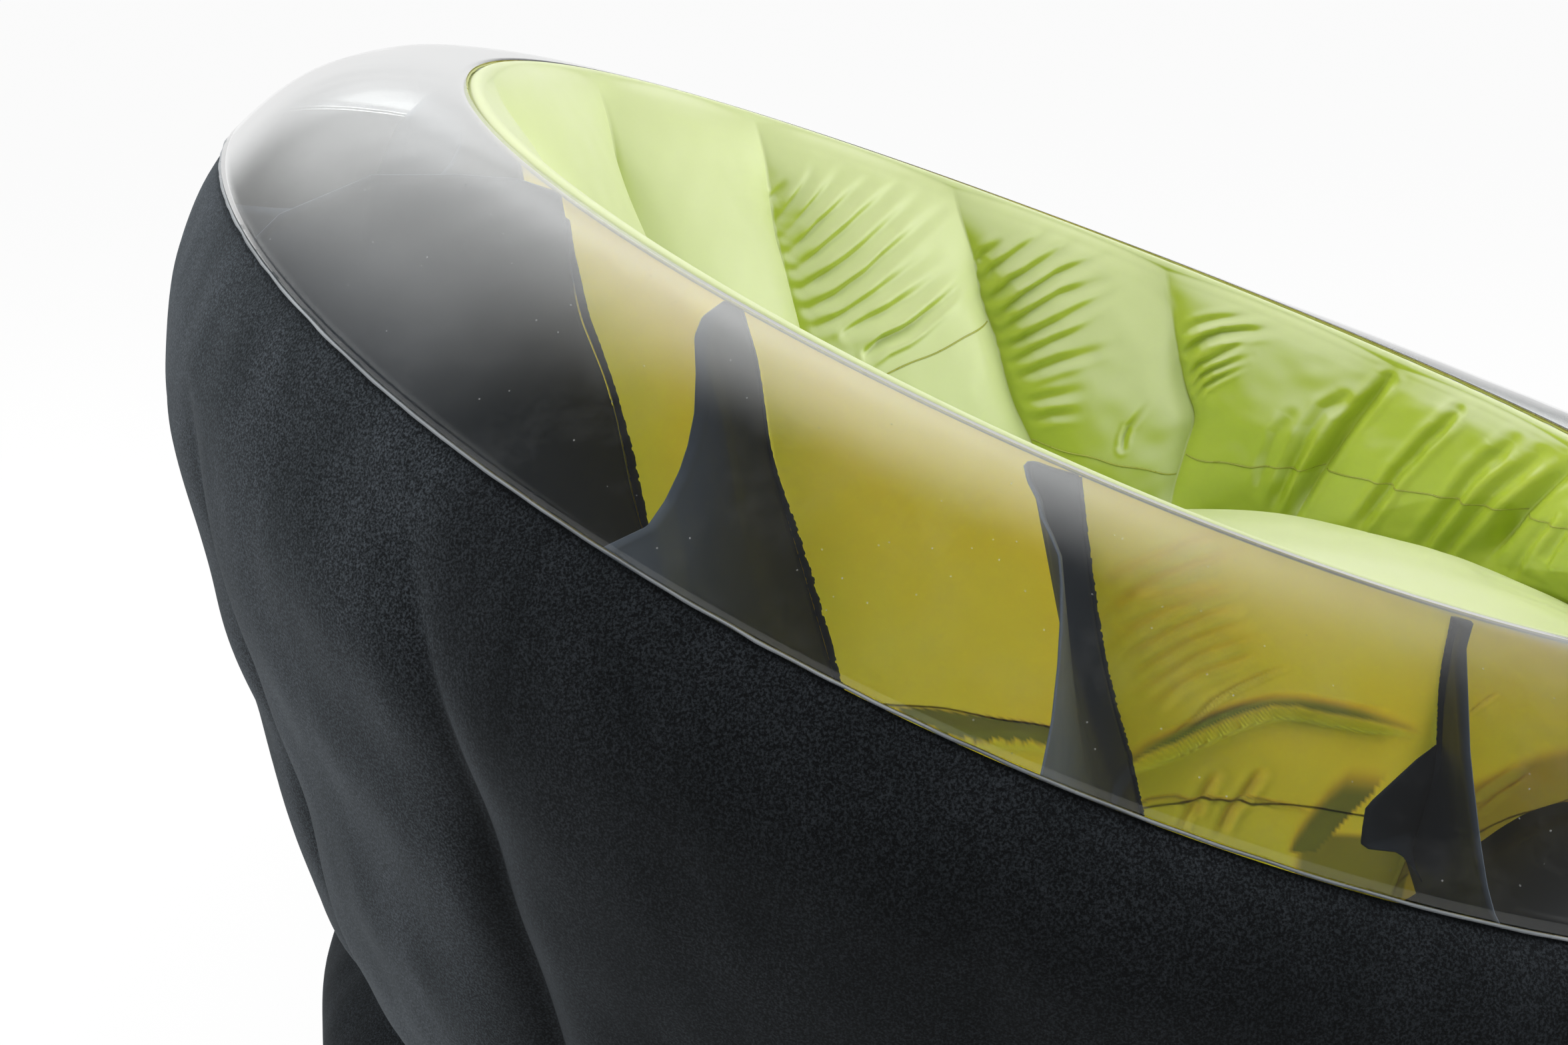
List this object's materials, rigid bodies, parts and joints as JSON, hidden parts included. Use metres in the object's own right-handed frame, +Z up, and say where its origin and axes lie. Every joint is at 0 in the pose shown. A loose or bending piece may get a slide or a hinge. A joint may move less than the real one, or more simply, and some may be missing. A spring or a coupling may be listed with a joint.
{
  "type": "inflatable armchair",
  "caption": "Round inflatable tub armchair: flocked outer wall, clear rim band over tension panels, pillowed lime inner wall, crowned seat and base ring, with two hinged air valves.",
  "frame": {"origin": "centre of the bounding box's bottom face, on the floor", "axes": "the chair faces -Y, +Z is up, +X is the sitter's left; the mirror plane is YZ"},
  "size_m": [1.091, 1.0873, 0.6867],
  "materials": {
    "charcoal_flocked_film": "short nylon flock on vinyl film, charcoal",
    "clear_film": "clear glossy vinyl film, very slightly smoky",
    "lime_film": "semi-gloss lime green vinyl film, ochre on its air side",
    "black_film": "smooth black vinyl film",
    "green_weld": "welded green vinyl edge",
    "grey_weld": "welded clear and charcoal vinyl edge",
    "soft_valve_vinyl": "soft moulded vinyl"
  },
  "bodies": {
    "tub": {"outer_wall": "charcoal_flocked_film", "rim_band": "clear_film", "inner_wall": "lime_film", "seat_sheet": "lime_film", "chamber_divider": "black_film", "base_ring": "black_film", "bottom_sheet": "black_film", "outer_rim_seam": "grey_weld", "inner_rim_seam": "green_weld", "seat_seam": "green_weld", "base_seam": "black_film", "foot_seam": "black_film", "tension_panel_01": "black_film", "tension_panel_02": "black_film", "tension_panel_03": "black_film", "tension_panel_04": "black_film", "tension_panel_05": "black_film", "tension_panel_06": "black_film", "tension_panel_07": "black_film", "tension_panel_08": "black_film", "tension_panel_09": "black_film", "tension_panel_10": "black_film", "tension_panel_11": "black_film", "tension_panel_12": "black_film", "tension_panel_13": "black_film", "tension_panel_14": "black_film", "wall_valve_collar": "soft_valve_vinyl", "base_valve_collar": "soft_valve_vinyl"},
    "wall_plug": {"wall_valve_plug": "soft_valve_vinyl"},
    "wall_flap": {"wall_valve_flap": "soft_valve_vinyl"},
    "base_plug": {"base_valve_plug": "soft_valve_vinyl"},
    "base_flap": {"base_valve_flap": "soft_valve_vinyl"}
  },
  "joints": [
    {"name": "wall_plug_hinge", "type": "hinge", "parent": "tub", "child": "wall_plug", "pos_m": [0.3269, 0.39842, 0.31176], "axis": [-0.7818, 0.6235, 0], "range_deg": [0, 120]},
    {"name": "wall_flap_hinge", "type": "hinge", "parent": "tub", "child": "wall_flap", "pos_m": [0.31621, 0.38502, 0.32428], "axis": [0.7818, -0.6235, 0], "range_deg": [0, 60], "stiffness_Nm_per_rad": 0.002},
    {"name": "base_plug_hinge", "type": "hinge", "parent": "tub", "child": "base_plug", "pos_m": [0.31605, 0.38482, 0.1116], "axis": [-0.7818, 0.6235, 0], "range_deg": [0, 120]},
    {"name": "base_flap_hinge", "type": "hinge", "parent": "tub", "child": "base_flap", "pos_m": [0.30325, 0.36876, 0.11696], "axis": [0.7818, -0.6235, 0], "range_deg": [0, 60], "stiffness_Nm_per_rad": 0.002}
  ]
}
